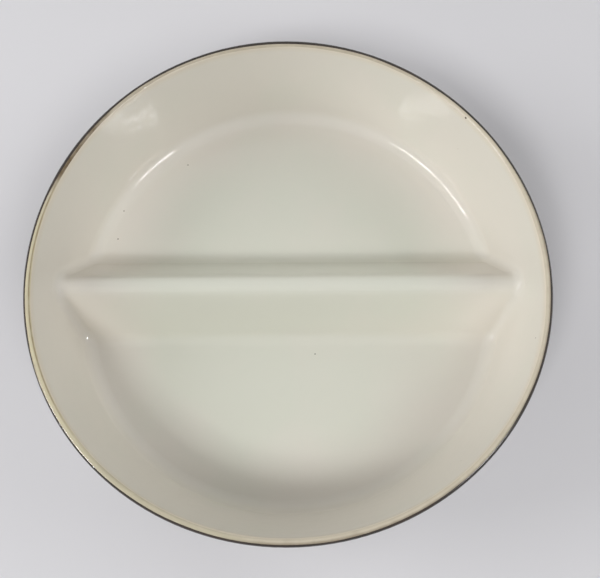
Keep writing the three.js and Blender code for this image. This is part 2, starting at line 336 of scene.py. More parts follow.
    def roll(self, start: Floats, stop: Floats, inset: float, steps: int) -> Floats:
        """Draws points along the rim's roll.

        Args:
            start: Angle of the first point, one for each place round the bowl.
            stop: Angle of the last point, likewise.
            inset: Depth under the finished surface.
            steps: How many steps the arc has.

        Returns:
            Radii and heights as an array of (step, place round the bowl, 2).
        """
        share = spaced(0.0, 1.0, steps)[:, None]
        angle = (1 - share) * np.atleast_1d(start) + share * np.atleast_1d(stop)
        radius, height = self.roll_centre
        reach = self.roll_radius - inset
        return np.stack([radius + reach * np.cos(angle), height + reach * np.sin(angle)], axis=-1)


@dataclass(frozen=True)
class KilnWarp:
    """How the firing left the wall a little out of round: nothing at the foot, most at the rim."""

    form: Form
    # Each lobe: waves in one turn, how far the rim stands out on them, and the angle of one wave's top.
    lobes: tuple[tuple[int, float, float], ...] = ((2, 0.50 * MM, -45.0), (3, 0.63 * MM, -21.6))

    def settled(self, points: Floats) -> Floats:
        """Moves points outward or inward with the warped wall.

        Args:
            points: Places in the true form, as (point, xyz).

        Returns:
            The same points in the fired bowl.
        """
        angle = np.arctan2(points[:, 1], points[:, 0])
        push = np.zeros(len(points))
        for waves, size, top in self.lobes:
            push += size * np.cos(waves * (angle - math.radians(top)))
        rise = (points[:, 2] - self.form.recess_height) / (self.form.height - self.form.recess_height)
        scale = 1 + push * np.clip(rise, 0, 1) / self.form.rim_radius
        return points * np.stack([scale, scale, np.ones(len(points))], axis=1)


class Draft:
    """A mesh in the making, from rows of points."""

    def __init__(self) -> None:
        """Starts with nothing."""
        self.points: list[Floats] = []
        self.faces: list[list[int]] = []

    def add_rows(self, rows: Floats) -> "Draft":
        """Joins each closed row of points to the next one by faces.

        Args:
            rows: Points as (row, place in the row, xyz).

        Returns:
            The draft itself.
        """
        first = sum(len(points) for points in self.points)
        count, around = rows.shape[:2]
        self.points.append(rows.reshape(-1, 3))
        here = first + np.arange(count * around).reshape(count, around)
        beside = np.roll(here, -1, axis=1)
        quads = np.stack([here[:-1], beside[:-1], beside[1:], here[1:]], axis=-1)
        self.faces.extend(quads.reshape(-1, 4).tolist())
        return self

    def to_object(self, name: str) -> Object:
        """Makes the mesh: points that meet are welded, and faces look outward.

        Args:
            name: The new object's name.

        Returns:
            The object, linked to the scene.
        """
        mesh = bpy.data.meshes.new(name)
        mesh.from_pydata(np.concatenate(self.points).tolist(), [], self.faces)
        draft = bmesh.new()
        draft.from_mesh(mesh)
        bmesh.ops.remove_doubles(draft, verts=draft.verts[:], dist=WELD)
        bmesh.ops.recalc_face_normals(draft, faces=draft.faces[:])
        draft.to_mesh(mesh)
        draft.free()
        return placed(name, mesh)


def turned(profile: Floats) -> Floats:
    """Turns a profile about the bowl's axis.

    Args:
        profile: Radii and heights as (step, 2), or as (step, place round the bowl, 2).

    Returns:
        Rows of points as (step, place round the bowl, xyz).
    """
    angles = ring_angles()
    if profile.ndim == 2:
        profile = profile[:, None, :]
    profile = np.broadcast_to(profile, (len(profile), len(angles), 2))
    across, height = profile[..., 0], profile[..., 1]
    return np.stack([across * np.cos(angles), across * np.sin(angles), height], axis=-1)


def rounded_outline(corners: list[tuple[float, float, float]]) -> Floats:
    """Draws an outline through corners, each rounded by an arc that touches both of its sides.

    Args:
        corners: The corners as (u, v, radius of the round). A radius of 0 leaves the corner sharp.

    Returns:
        The outline's points as (point, 2).
    """
    points: list[Floats] = []
    for i, (u, v, radius) in enumerate(corners):
        here = np.array([u, v])
        if radius == 0:
            points.append(here[None])
            continue
        back = np.array(corners[i - 1][:2]) - here
        on = np.array(corners[(i + 1) % len(corners)][:2]) - here
        back, on = back / np.linalg.norm(back), on / np.linalg.norm(on)
        half = math.acos(np.clip(back @ on, -1, 1)) / 2
        middle = (back + on) / np.linalg.norm(back + on)
        centre = here + middle * radius / math.sin(half)
        spoke = here + back * radius / math.tan(half) - centre
        sweep = (math.pi - 2 * half) * np.sign(on[0] * back[1] - on[1] * back[0])
        turn = spaced(0.0, sweep, max(2, math.ceil(abs(sweep) / ARC_STEP)))
        cosine, sine = np.cos(turn), np.sin(turn)
        arc = [spoke[0] * cosine - spoke[1] * sine, spoke[0] * sine + spoke[1] * cosine]
        points.append(np.stack(arc, axis=1) + centre)
    return np.concatenate(points)


def turned_solid(profile: Floats, name: str) -> Object:
    """Turns a profile about the bowl's axis into a solid of its own."""
    return Draft().add_rows(turned(profile)).to_object(name)


def prism(outline: Floats, axis: int, reach: float, name: str) -> Object:
    """Draws an outline out to both sides of a plane as a closed solid.

    Args:
        outline: The outline's points as (point, 2).
        axis: Number of the axis that is square to the plane.
        reach: How far the solid goes to each side.
        name: The new object's name.

    Returns:
        The solid.
    """
    middle = np.broadcast_to(outline.mean(axis=0), outline.shape)
    rings = ((middle, -reach), (outline, -reach), (outline, reach), (middle, reach))
    rows = [np.insert(ring, axis, place, axis=1) for ring, place in rings]
    return Draft().add_rows(np.stack(rows)).to_object(name)


class Cut(Enum):
    """Ways in which one solid changes another."""

    AWAY = "DIFFERENCE"
    SHARED = "INTERSECT"
    JOINED = "UNION"


def combined(solid: Object, other: Object, cut: Cut) -> Object:
    """Cuts or joins two solids, and uses the other one up.

    Args:
        solid: The solid that is changed.
        other: The solid that is cut away, kept in common or joined.
        cut: Which of these is done.

    Returns:
        The first solid with its new mesh.
    """
    step = solid.modifiers.new("cut", "BOOLEAN")
    step.operation = cut.value
    step.solver = "MANIFOLD"
    step.object = other
    graph = bpy.context.evaluated_depsgraph_get()
    result = bpy.data.meshes.new_from_object(solid.evaluated_get(graph))
    solid.modifiers.clear()
    solid.data = result
    bpy.data.objects.remove(other)
    return solid


@dataclass(frozen=True)
class DividerCore:
    """The hollow that cores out the divider from below, so that its walls are as thin as the bowl's."""

    form: Form
    wall: float = 6.5 * MM
    half_length: float = 100.0 * MM
    end_lean: float = 8.0 * MM
    peak_round: float = 3.5 * MM
    end_round: float = 14.0 * MM
    below: float = -10.0 * MM
    above_peak: float = 5.0 * MM

    def solid(self, grow: float, name: str) -> Object:
        """Makes the hollow's solid.

        Args:
            grow: How far it is enlarged all round.
            name: The new object's name.

        Returns:
            The solid.
        """
        form = self.form
        slope = math.tan(form.face_lean)
        half = form.divider_base / 2 - (self.wall - grow) / math.cos(form.face_lean)
        peak = form.floor_height + half / slope
        mouth = half + (form.floor_height - self.below) * slope
        corners = [(-mouth, self.below, 0), (mouth, self.below, 0), (0, peak, self.peak_round + grow)]
        section = rounded_outline(corners)
        lean = self.end_lean / (peak - form.recess_height)
        low_end = self.half_length + grow + (form.recess_height - self.below) * lean
        top = peak + self.above_peak
        top_end = low_end - (top - self.below) * lean
        side = np.array([(-low_end, self.below), (low_end, self.below), (top_end, top), (-top_end, top)])
        wide = form.divider_base / 2 + grow
        round_end = self.end_round + grow
        plan = rounded_outline([(low_end * u, wide * v, round_end) for u, v in SQUARE])
        reach = form.rim_radius
        core = prism(section, 0, reach, name)
        combined(core, prism(side, 1, reach, "side"), Cut.SHARED)
        return combined(core, prism(plan, 2, reach, "plan"), Cut.SHARED)


@dataclass(frozen=True)
class Inside:
    """The inside of the bowl at one depth, with the divider faired into floor and wall."""

    form: Form
    inset: float
    crest_stations: int = 26
    saddle_steps: int = 18
    # Shares of the way from the middle of a compartment's floor out to the feet of its sides
    floor_shares: tuple[float, ...] = (0.0, 0.3, 0.6, 0.85, 1.0)
    # How many rounds of the floor's corner the feet at the wall stay inside the floor's full radius
    corner_rounds: float = 1.5
    # Share of a side's height that its concave foot takes up, and how far round that hollow its rows go
    foot_share: float = 0.19
    foot_sweep: float = math.radians(78.0)
    foot_steps: int = 14
    face_steps: int = 10
    # The last row lies this far below the edge, and holds the crest's flat top level.
    below_edge: float = 0.03 * MM

    def edge(self) -> Floats:
        """Finds where the front compartment's sides end: round the wall, then back along the crest.

        Returns:
            Points of a closed loop, as (point, xyz).
        """
        form, inset = self.form, self.inset
        wall = turned(self.round_at(np.array([form.shoulder])))[0, : HALF_ROUND + 1]
        crest = form.crest_height - inset
        climb = (1 - np.cos(spaced(0.0, np.pi / 2, self.saddle_steps)))[1:-1]
        saddle_height = crest + (form.shoulder - crest) * climb
        saddle_end = crossing(
            lambda x: -form.clearance(x, np.zeros_like(x), saddle_height) - inset,
            np.zeros_like(saddle_height),
            np.full_like(saddle_height, form.rim_radius),
        )
        flat_end = saddle_end[0] - form.seam_round / 2
        flat = spaced(0.0, flat_end, self.crest_stations)[1:]
        out = np.concatenate([flat, saddle_end])
        up = np.concatenate([np.full_like(flat, crest), saddle_height])
        half = np.stack([out, np.zeros_like(out), up], axis=1)
        middle = np.array([[0.0, 0.0, crest]])
        return np.concatenate([wall, (half * (-1, 1, 1))[::-1], middle, half])

    def feet(self, edge: Floats) -> Floats:
        """Finds the points on the flat floor from which the sides below the edge are climbed.

        Args:
            edge: The compartment's edge, as (point, xyz).

        Returns:
            One place for each edge point, as (point, xy).
        """
        form = self.form
        aside = form.divider_base / 2 + form.floor_round
        radius = form.floor_radius - self.corner_rounds * form.floor_round
        corner = math.sqrt(radius**2 - aside**2)
        length = np.maximum(np.hypot(edge[:, 0], edge[:, 1]), WELD)
        on_wall = edge[:, :2] * (radius / length)[:, None]
        beside = np.stack([np.clip(edge[:, 0], -corner, corner), np.full(len(edge), -aside)], axis=1)
        faces_wall = (edge[:, 1] < -WELD) & (on_wall[:, 1] < -aside)
        return np.where(faces_wall[:, None], on_wall, beside)

    def side_shares(self) -> Floats:
        """Spaces the rows up a side: foot, leaning face, rounded top.

        Returns:
            The rows' heights, as shares of the side's height.
        """
        sweep = spaced(0.0, self.foot_sweep, self.foot_steps)[1:]
        foot = self.foot_share * (1 - np.cos(sweep)) / (1 - math.cos(sweep[-1]))
        rise = self.form.crest_height - self.form.floor_height
        over = np.arange(math.pi / 2 - self.form.face_lean, 0, -ARC_STEP)
        top = 1 - self.form.crest_round * (1 - np.cos(over)) / rise
        face = spaced(self.foot_share, float(top[0]), self.face_steps)[1:-1]
        return np.concatenate([foot, face, top, [1 - self.below_edge / rise]])

    def compartment(self) -> Floats:
        """Draws the front compartment's surface, from the middle of its floor to its edge.

        Returns:
            Rows of points as (row, place in the row, xyz).
        """
        edge = self.edge()
        feet = self.feet(edge)
        floor = self.form.floor_height - self.inset
        middle = np.array([0.0, -self.form.floor_radius / 2])
        flat = [middle + (feet - middle) * share for share in self.floor_shares]
        rows = [np.column_stack([place, np.full(len(edge), floor)]) for place in flat]
        rows += [self.climbed(feet, edge, share) for share in self.side_shares()]
        return np.stack([*rows, edge])

    def climbed(self, feet: Floats, edge: Floats, share: float) -> Floats:
        """Finds points part of the way up the sides, straight above the lines from their feet to the edge.

        Args:
            feet: Where each side starts, as (point, xy).
            edge: Where each side ends, as (point, xyz).
            share: How much of a side's height has been climbed.

        Returns:
            One point on the surface for each side, as (point, xyz).
        """
        floor = self.form.floor_height - self.inset
        height = floor + (edge[:, 2] - floor) * share
        across = edge[:, :2] - feet

        def depth(out: Floats) -> Floats:
            """How deep under the surface each point is, so far out from its foot."""
            x, y = (feet + across * out[:, None]).T
            return -self.form.clearance(x, y, height) - self.inset

        out = crossing(depth, np.zeros(len(edge)), np.ones(len(edge)))
        return np.column_stack([feet + across * out[:, None], height])

    def add_to(self, draft: Draft) -> None:
        """Adds both compartments, up to the shoulder, to a draft."""
        front = self.compartment()
        draft.add_rows(front).add_rows(front * (1, -1, 1))

    def round_profile(self, steps: int) -> Floats:
        """Draws the round inside without the divider, from the middle of the floor to the wall's top.

        Args:
            steps: How many steps the wall has above the shoulder.

        Returns:
            Radii and heights as (step, 2).
        """
        floor = self.form.floor_height - self.inset
        height = floor + (self.form.shoulder - floor) * self.side_shares()
        return np.concatenate([[[0.0, floor]], self.round_at(height), self.wall(steps)])

    def wall(self, steps: int) -> Floats:
        """Radii and heights of the round wall, from the shoulder up in so many steps."""
        return self.round_at(spaced(self.form.shoulder, self.form.wall_top, steps))

    def round_at(self, height: Floats) -> Floats:
        """Radii and heights of the round inside at some heights."""
        return np.stack([self.form.inner_radius(height, self.inset), height], axis=1)


def linear(code: str) -> tuple[float, float, float, float]:
    """Turns an sRGB hex colour into the linear colour that the shaders take.

    Args:
        code: The colour as "#rrggbb".

    Returns:
        Red, green, blue and an alpha of 1.
    """
    parts = [int(code[i : i + 2], 16) / 255 for i in (1, 3, 5)]
    light = [c / 12.92 if c <= 0.04045 else ((c + 0.055) / 1.055) ** 2.4 for c in parts]
    return light[0], light[1], light[2], 1.0


Links = dict[str | int, Node | NodeSocket]
# Each layer's share of the surface, and its colour
Layers = list[tuple[Node, str]]


def add_node(
    tree: NodeTree,
    kind: str,
    settings: dict[str | int, Any] | None = None,
    links: Links | None = None,
) -> Node:
    """Adds a node with its settings and links.

    Args:
        tree: The node tree.
        kind: The node's type without its "ShaderNode" prefix.
        settings: Values of the node's inputs, by socket name or number, and of its own properties.
        links: What goes into its inputs, by socket name or number. A node gives its first output in use.

    Returns:
        The new node.
    """
    node = tree.nodes.new("ShaderNode" + kind)
    for name, value in (settings or {}).items():
        if isinstance(name, int) or name in node.inputs:
            node.inputs[name].default_value = value
        else:
            setattr(node, name, value)
    for name, source in (links or {}).items():
        if isinstance(source, Node):
            source = next(socket for socket in source.outputs if socket.enabled)
        tree.links.new(source, node.inputs[name])
    return node


def soft_step(start: float, stop: float, share: float = 1.0) -> dict[str, Any]:
    """Settings for a smooth rise from nothing at the start to a share at the stop."""
    return {"interpolation_type": "SMOOTHSTEP", "From Min": start, "From Max": stop, "To Max": share}


def off_axis(tree: NodeTree, home: NodeSocket) -> Node:
    """Measures with nodes how far a point lies from the bowl's axis."""
    flat = add_node(tree, "VectorMath", {"operation": "MULTIPLY", 1: (1.0, 1.0, 0.0)}, {0: home})
    return add_node(tree, "VectorMath", {"operation": "LENGTH"}, {0: flat})


@dataclass(frozen=True)
class Unevenness:
    """Waves or grit too shallow for the mesh, with their real width and depth."""

    width: float
    depth: float
    detail: float = 1.0
    strength: float = 1.0

    def draw(self, tree: NodeTree, home: NodeSocket) -> Node:
        """Adds the nodes that tilt the surface's direction with the unevenness."""
        noise = add_node(tree, "TexNoise", {"Scale": 1 / self.width, "Detail": self.detail}, {"Vector": home})
        return add_node(tree, "Bump", {"Strength": self.strength, "Distance": self.depth}, {"Height": noise})


@dataclass(frozen=True)
class Finish:
    """A surface finish: a ground colour, layers of other colours over it, and its unevenness."""

    name: str
    ground: str
    roughness: float
    ior: float = 1.5
    relief: Unevenness | None = None

    def material(self) -> Material:
        """Makes the finish's material.

        Returns:
            The material, with its nodes in place.
        """
        made = bpy.data.materials.new(self.name)
        made.use_nodes = True
        tree = made.node_tree
        tree.nodes.clear()
        home = add_node(tree, "Attribute", {"attribute_name": HOME}).outputs["Vector"]
        same = {"Base Color": linear(self.ground), "Roughness": self.roughness, "IOR": self.ior}
        surface = add_node(tree, "BsdfPrincipled", same, self.differing(tree, home))
        add_node(tree, "OutputMaterial", links={"Surface": surface})
        return made

    def differing(self, tree: NodeTree, home: NodeSocket) -> Links:
        """Adds the nodes for all that differs over the surface.

        Args:
            tree: The material's node tree.
            home: The place that each point had in the true form.

        Returns:
            What goes into the shader, by its socket.
        """
        links: Links = {}
        for share, colour in self.layers(tree, home):
            settings = {"data_type": "RGBA", 6: linear(self.ground), 7: linear(colour)}
            under = {6: links["Base Color"]} if links else {}
            links["Base Color"] = add_node(tree, "Mix", settings, {0: share, **under})
        if self.relief:
            links["Normal"] = self.relief.draw(tree, home)
        return links

    def layers(self, tree: NodeTree, home: NodeSocket) -> Layers:
        """Draws the layers of other colours, the lowest first.

        Args:
            tree: The material's node tree.
            home: The place that each point had in the true form.

        Returns:
            Each layer's share of the surface, and its colour.
        """
        return []


@dataclass(frozen=True)
class Speck:
    """A speck of iron or a pinhole, at its place on the bowl, in metres."""

    at: tuple[float, float, float]
    radius: float
    colour: str


@dataclass(frozen=True)
class CreamGlaze(Finish):
    """Glossy cream ovenware glaze, dipped and fired over stoneware.

    An opaque white glaze melts to a smooth glass, so it mirrors the lamps in thin bright lines, and the faint
    waves of the melt break them up. It pools cool and greenish on the floor, and runs thin and warm up the
    wall and over the lip. A few specks of iron burn through it.
    """

    name: str = "cream_glaze_fired"
    # Where it pools on the floor
    ground: str = "#dadbce"
    roughness: float = 0.05
    ior: float = 1.55
    relief: Unevenness = Unevenness(6.0 * MM, 0.045 * MM)
    thin: str = "#e0dbd1"
    lip: str = "#dfd5c3"
    speck: str = "#85796a"
    pool_edge: tuple[float, float] = (66.0 * MM, 124.0 * MM)
    lip_edge: tuple[float, float] = (134.8 * MM, 136.3 * MM)
    cloud_size: float = 48.0 * MM
    cloudiness: float = 1.5
    # Specks lie about so far apart. The smaller share of these places has none.
    speck_gap: float = 13.0 * MM
    speck_radius: float = 0.34 * MM
    without_speck: float = 0.55
    flaws: tuple[Speck, ...] = (
        Speck((0.10140, 0.09020, 0.06890), 0.62 * MM, "#51463a"),
        Speck((-0.06443, 0.08906, 0.01200), 0.45 * MM, "#9b9588"),
        Speck((-0.10591, 0.03920, 0.01200), 0.40 * MM, "#6b5d4d"),
        Speck((-0.10325, 0.05766, 0.01239), 0.42 * MM, "#8f8370"),
        Speck((0.01532, -0.03376, 0.01200), 0.42 * MM, "#86867a"),
    )

    def layers(self, tree: NodeTree, home: NodeSocket) -> Layers:
        """Draws the thin glaze up the wall, the warm lip and the specks.

        Args:
            tree: The material's node tree.
            home: The place that each point had in the true form.

        Returns:
            Each layer's share of the surface, and its colour.
        """
        cloud = add_node(tree, "TexNoise", {"Scale": 1 / self.cloud_size, "Detail": 2.0}, {"Vector": home})
        spread = {"operation": "MULTIPLY_ADD", 1: self.cloudiness, 2: -self.cloudiness / 2}
        drift = add_node(tree, "Math", spread, {0: cloud})
        radius = off_axis(tree, home)
        up_wall = add_node(tree, "MapRange", soft_step(*self.pool_edge), {0: radius})
        thin = add_node(tree, "Math", {"operation": "ADD", "use_clamp": True}, {0: up_wall, 1: drift})
        at_lip = add_node(tree, "MapRange", soft_step(*self.lip_edge), {0: radius})
        cells = add_node(tree, "TexVoronoi", {"Scale": 1 / self.speck_gap}, {"Vector": home}).outputs
        chance = add_node(tree, "SeparateColor", links={"Color": cells["Color"]})
        size = {"From Min": self.without_speck, "To Max": self.speck_radius / self.speck_gap}
        reach = add_node(tree, "MapRange", size, {0: chance})
        in_speck = add_node(tree, "Math", {"operation": "LESS_THAN"}, {0: cells["Distance"], 1: reach})
        layers = [(thin, self.thin), (at_lip, self.lip), (in_speck, self.speck)]
        for flaw in self.flaws:
            off = add_node(tree, "VectorMath", {"operation": "DISTANCE", 1: flaw.at}, {0: home})
            inside = add_node(tree, "Math", {"operation": "LESS_THAN", 1: flaw.radius}, {0: off})
            layers.append((inside, flaw.colour))
        return layers


@dataclass(frozen=True)
class Stretch:
    """A stretch of the rim on which the glaze came out in another colour."""

    # Direction of its middle in degrees, and how far to either side it is full and where it has faded.
    middle: float
    full: float
    faded: float
    colour: str
    # Middle of the streak across the rim and half of its width, in metres from the bowl's axis.
    across: float = 137.2 * MM
    half_width: float = 2.0 * MM


@dataclass(frozen=True)
class ThinTanGlaze(Finish):
    """The rim's top, where the cream glaze ran thin over the brown one.

    The iron below shows through as tan, yellowish where more cream stayed, brown where hardly any did.
    """

    name: str = "thin_tan_glaze_fired"
    ground: str = "#cfc5b1"
    roughness: float = 0.14
    at_dark_edge: str = "#9c907c"
    darkening: tuple[float, float] = (137.0 * MM, 138.6 * MM)
    rim_radius: float = 138.0 * MM
    cloud_size: float = 6.0 * MM
    cloudiness: float = 0.8
    # Levels of the clouds between which a stretch goes from its least cover to full, and that least
    cover: tuple[float, float, float] = (0.3, 0.6, 0.55)
    stretches: tuple[Stretch, ...] = (
        Stretch(-158.0, 26.0, 50.0, "#d4cbab"),
        Stretch(-120.0, 12.0, 28.0, "#c3bba2"),
        Stretch(100.0, 25.0, 60.0, "#b8ad99"),
        Stretch(-178.0, 24.0, 42.0, "#a59576", 136.6 * MM, 0.42 * MM),
        Stretch(148.0, 9.5, 15.0, "#6a573b"),
    )

    def layers(self, tree: NodeTree, home: NodeSocket) -> Layers:
        """Draws the darkening towards the dark glaze and the uneven stretches.

        Args:
            tree: The material's node tree.
            home: The place that each point had in the true form.

        Returns:
            Each layer's share of the surface, and its colour.
        """
        cloud = add_node(tree, "TexNoise", {"Scale": 1 / self.cloud_size, "Detail": 3.0}, {"Vector": home})
        radius = off_axis(tree, home)
        outward = add_node(tree, "MapRange", soft_step(*self.darkening), {0: radius})
        spread = {"operation": "MULTIPLY_ADD", 1: self.cloudiness, 2: -self.cloudiness / 2}
        uneven = add_node(tree, "Math", spread, {0: cloud})
        edge = add_node(tree, "Math", {"operation": "ADD", "use_clamp": True}, {0: outward, 1: uneven})
        layers = [(edge, self.at_dark_edge)]
        thin, full, least = self.cover
        cover = add_node(tree, "MapRange", {"From Min": thin, "From Max": full, "To Min": least}, {0: cloud})
        for stretch in self.stretches:
            turn = math.radians(stretch.middle)
            towards = (math.cos(turn) / self.rim_radius, math.sin(turn) / self.rim_radius, 0.0)
            facing = add_node(tree, "VectorMath", {"operation": "DOT_PRODUCT", 1: towards}, {0: home})
            fading = (math.cos(math.radians(angle)) for angle in (stretch.faded, stretch.full))
            along = add_node(tree, "MapRange", soft_step(*fading), {0: facing})
            aside = add_node(tree, "Math", {"operation": "SUBTRACT", 1: stretch.across}, {0: radius})
            away = add_node(tree, "Math", {"operation": "ABSOLUTE"}, {0: aside})
            limits = {"From Min": stretch.half_width, "From Max": stretch.half_width / 2}
            across = add_node(tree, "MapRange", limits, {0: away})
            share = add_node(tree, "Math", {"operation": "MULTIPLY"}, {0: along, 1: across})
            share = add_node(tree, "Math", {"operation": "MULTIPLY"}, {0: share, 1: cover})
            layers.append((share, stretch.colour))
        return layers


@dataclass(frozen=True)
class DarkBrownGlaze(Finish):
    """Iron-brown glaze, dipped on the outside and fired.

    It is nearly black where it is thick and browner where it breaks thin, with the gloss of glass.
    """

    name: str = "dark_brown_glaze_fired"
    # Where it is thick
    ground: str = "#2a221b"
    roughness: float = 0.18
    relief: Unevenness = Unevenness(8.0 * MM, 0.05 * MM)
    broken: str = "#46362a"
    cloud_size: float = 19.0 * MM
    # Levels of the clouds between which the glaze goes from thick to broken, and how far it goes
    breaking: tuple[float, float, float] = (0.35, 0.85, 0.5)

    def layers(self, tree: NodeTree, home: NodeSocket) -> Layers:
        """Draws the browner patches.

        Args:
            tree: The material's node tree.
            home: The place that each point had in the true form.

        Returns:
            Each layer's share of the surface, and its colour.
        """
        cloud = add_node(tree, "TexNoise", {"Scale": 1 / self.cloud_size, "Detail": 4.0}, {"Vector": home})
        return [(add_node(tree, "MapRange", soft_step(*self.breaking), {0: cloud}), self.broken)]


@dataclass(frozen=True)
class StonewareClay(Finish):
    """Buff stoneware clay, pressed in a mould and fired bare: dry, matt and faintly gritty to the eye."""

    name: str = "stoneware_clay_fired"
    ground: str = "#b79f80"
    roughness: float = 0.88
    relief: Unevenness = Unevenness(0.8 * MM, 0.12 * MM, 4.0, 0.6)
    toasted: str = "#9c8264"
    grog: str = "#6e5a45"
    patch_size: float = 22.0 * MM
    # Levels of the patches between which the clay goes from its buff ground to toasted
    toasting: tuple[float, float] = (0.35, 0.7)
    grog_gap: float = 1.6 * MM
    # Radius of a grain, and of its dark middle, as a share of the gap
    grain: tuple[float, float] = (0.2, 0.1)

    def layers(self, tree: NodeTree, home: NodeSocket) -> Layers:
        """Draws the toasted patches and the dark grains of grog.

        Args:
            tree: The material's node tree.
            home: The place that each point had in the true form.

        Returns:
            Each layer's share of the surface, and its colour.
        """
        cloud = add_node(tree, "TexNoise", {"Scale": 1 / self.patch_size, "Detail": 3.0}, {"Vector": home})
        patches = add_node(tree, "MapRange", soft_step(*self.toasting), {0: cloud})
        grains = add_node(tree, "TexVoronoi", {"Scale": 1 / self.grog_gap}, {"Vector": home})
        edge, dark = self.grain
        in_grain = add_node(tree, "MapRange", {"From Min": edge, "From Max": dark}, {0: grains})
        return [(patches, self.toasted), (in_grain, self.grog)]


@dataclass(frozen=True)
class StudioPaper(Finish):
    """Matt pale paper under the bowl, plain so that only the bowl's own shadow marks it.

    Well away from the bowl it fades into the backdrop, so that a view from the side has no hard horizon.
    """

    name: str = "studio_paper"
    ground: str = "#e2e1e4"
    roughness: float = 0.7
    # Where it begins to fade and where it has gone, in metres from the bowl's axis
    fade: tuple[float, float] = (0.35, 1.0)

    def differing(self, tree: NodeTree, home: NodeSocket) -> Links:
        """Adds the nodes for the fade.

        Args:
            tree: The material's node tree.
            home: Not used here.

        Returns:
            What goes into the shader, by its socket.
        """
        away = add_node(tree, "VectorMath", {"operation": "LENGTH"}, {0: add_node(tree, "NewGeometry")})
        near, far = self.fade
        return {"Alpha": add_node(tree, "MapRange", soft_step(far, near), {0: away})}


@dataclass
class Member:
    """A group of the bowl's members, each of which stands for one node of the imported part."""

    form: Form
    kiln: KilnWarp
    core: DividerCore
    wall_steps: int = 14
    # Edges that turn by more than this stay sharp.
    crease: float = math.radians(40.0)

    def finished(self, piece: Object, node: str, slot: str, finish: Material) -> None:
        """Fires and dresses a piece and puts it in its node's place.

        Args:
            piece: The piece in its true form.
            node: The node that it stands for.
            slot: Not used here.
            finish: The piece's material.
        """
        mesh = piece.data
        home = np.zeros(len(mesh.vertices) * 3)
        mesh.vertices.foreach_get("co", home)
        mesh.attributes.new(HOME, "FLOAT_VECTOR", "POINT").data.foreach_set("vector", home)
        mesh.vertices.foreach_set("co", self.kiln.settled(home.reshape(-1, 3)).ravel())
        mesh.update()
        mesh.shade_smooth()
        mesh.set_sharp_from_angle(angle=self.crease)
        # A cut leaves an empty slot.
        mesh.materials.clear()
        mesh.materials.append(finish)
        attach(piece, BODY)
        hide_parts(node)
        LOG.info("%s: %d faces, stands for %s", piece.name, len(mesh.polygons), node)


@dataclass
class ClayBody(Member):
    """The moulded body: the shell, the cross wall that is fused into it, and the foot ring."""

    roll_steps: int = 18
    # The space that the divider is cut to size with is round, and its wall straight.
    space_steps: int = 2

    def shell(self) -> Object:
        """Forms the flared wall, rolled rim and floor, open under the divider.

        Returns:
            The shell in its true form.
        """
        form = self.form
        roll = form.roll(np.pi - form.inner_lean, -form.outer_lean, form.clay, self.roll_steps)[:, 0]
        outside = form.outer_profile(form.clay, self.wall_steps, form.foot_outer_radius)
        middle = [[0.0, form.recess_height + form.clay]]
        inside = Inside(form, form.clay).round_profile(self.wall_steps)
        shell = turned_solid(np.concatenate([inside, roll, outside, middle]), "bowl_shell_clay")
        return combined(shell, self.core.solid(form.clay, "core"), Cut.AWAY)

    def divider(self) -> Object:
        """Forms the cross wall: leaning faces, rounded crest, faired seams, and a core open below.

        Returns:
            The wall in its true form.
        """
        form = self.form
        under_glaze = Draft()
        Inside(form, form.clay).add_to(under_glaze)
        radius = float(form.inner_radius(form.shoulder, form.clay))
        under_glaze.add_rows(turned(np.array([[radius, form.shoulder], [radius, 0.0], [0.0, 0.0]])))
        divider = under_glaze.to_object("divider_wall_clay")
        space = Inside(form, form.glaze).round_profile(self.space_steps)
        closed = np.concatenate([space, [[0.0, form.wall_top]]])
        combined(divider, turned_solid(closed, "round_space"), Cut.SHARED)
        return combined(divider, self.core.solid(form.clay, "core"), Cut.AWAY)

    def foot(self) -> Object:
        """Forms the bare ring that the bowl stands on, its resting face flat.

        Returns:
            The ring in its true form.
        """
        form = self.form
        outer, inner = form.foot_outer_radius, form.foot_outer_radius - form.foot_width
        top, taper, edge = form.recess_height + form.clay, form.foot_taper, form.foot_edge_round
        corners = [(inner, top, 0), (outer, top, 0), (outer - taper, 0, edge), (inner + taper, 0, edge)]
        outline = rounded_outline(corners)
        return turned_solid(np.concatenate([outline, outline[:1]]), "foot_ring_clay")

    def build(self, clay: Material) -> None:
        """Builds and dresses the three clay members.

        Args:
            clay: Material of all three.
        """
        self.finished(self.shell(), "bowl_shell", "stoneware_clay", clay)
        self.finished(self.divider(), "divider_wall", "stoneware_clay", clay)
        self.finished(self.foot(), "foot_ring", "stoneware_clay", clay)


